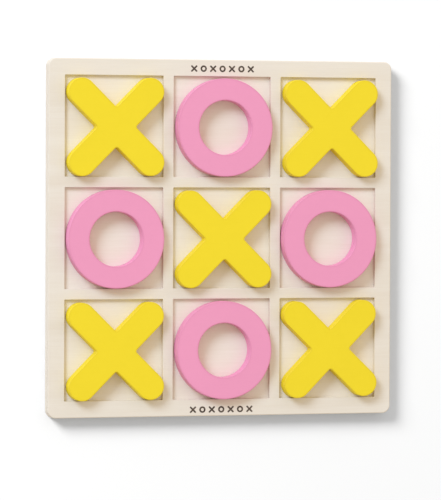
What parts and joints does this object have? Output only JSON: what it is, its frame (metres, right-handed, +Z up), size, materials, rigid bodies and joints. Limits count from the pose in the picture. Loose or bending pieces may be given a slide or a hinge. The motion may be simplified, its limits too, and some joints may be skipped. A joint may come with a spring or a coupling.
{
  "type": "tic tac toe set",
  "caption": "Square wooden tic tac toe board with a grid of square recesses that hold loose painted cross and ring playing pieces.",
  "frame": {"origin": "centre of the board's underside", "axes": "+Z up through the board's thickness, +X to the right and +Y to the far side for a player who sits at the near side"},
  "size_m": [0.24, 0.24, 0.015],
  "materials": {
    "birch": "pale plywood, sanded, with a thin matt clear coat",
    "yellow_paint": "solid wood under an even satin yellow paint",
    "pink_paint": "solid wood under an even satin pink paint",
    "print_ink": "thin matt dark brown printing ink on the frame"
  },
  "bodies": {
    "board": {"base_board": "birch", "grid_frame": "birch"},
    "cross_1": {"cross_1": "yellow_paint"},
    "cross_2": {"cross_2": "yellow_paint"},
    "cross_3": {"cross_3": "yellow_paint"},
    "cross_4": {"cross_4": "yellow_paint"},
    "cross_5": {"cross_5": "yellow_paint"},
    "ring_1": {"ring_1": "pink_paint"},
    "ring_2": {"ring_2": "pink_paint"},
    "ring_3": {"ring_3": "pink_paint"},
    "ring_4": {"ring_4": "pink_paint"}
  },
  "joints": [
    {"name": "cross_1_lift", "type": "slide", "parent": "board", "child": "cross_1", "axis": [0, 0, 1], "range_m": [0, 0.03]},
    {"name": "cross_2_lift", "type": "slide", "parent": "board", "child": "cross_2", "axis": [0, 0, 1], "range_m": [0, 0.03]},
    {"name": "cross_3_lift", "type": "slide", "parent": "board", "child": "cross_3", "axis": [0, 0, 1], "range_m": [0, 0.03]},
    {"name": "cross_4_lift", "type": "slide", "parent": "board", "child": "cross_4", "axis": [0, 0, 1], "range_m": [0, 0.03]},
    {"name": "cross_5_lift", "type": "slide", "parent": "board", "child": "cross_5", "axis": [0, 0, 1], "range_m": [0, 0.03]},
    {"name": "ring_1_lift", "type": "slide", "parent": "board", "child": "ring_1", "axis": [0, 0, 1], "range_m": [0, 0.03]},
    {"name": "ring_2_lift", "type": "slide", "parent": "board", "child": "ring_2", "axis": [0, 0, 1], "range_m": [0, 0.03]},
    {"name": "ring_3_lift", "type": "slide", "parent": "board", "child": "ring_3", "axis": [0, 0, 1], "range_m": [0, 0.03]},
    {"name": "ring_4_lift", "type": "slide", "parent": "board", "child": "ring_4", "axis": [0, 0, 1], "range_m": [0, 0.03]}
  ]
}
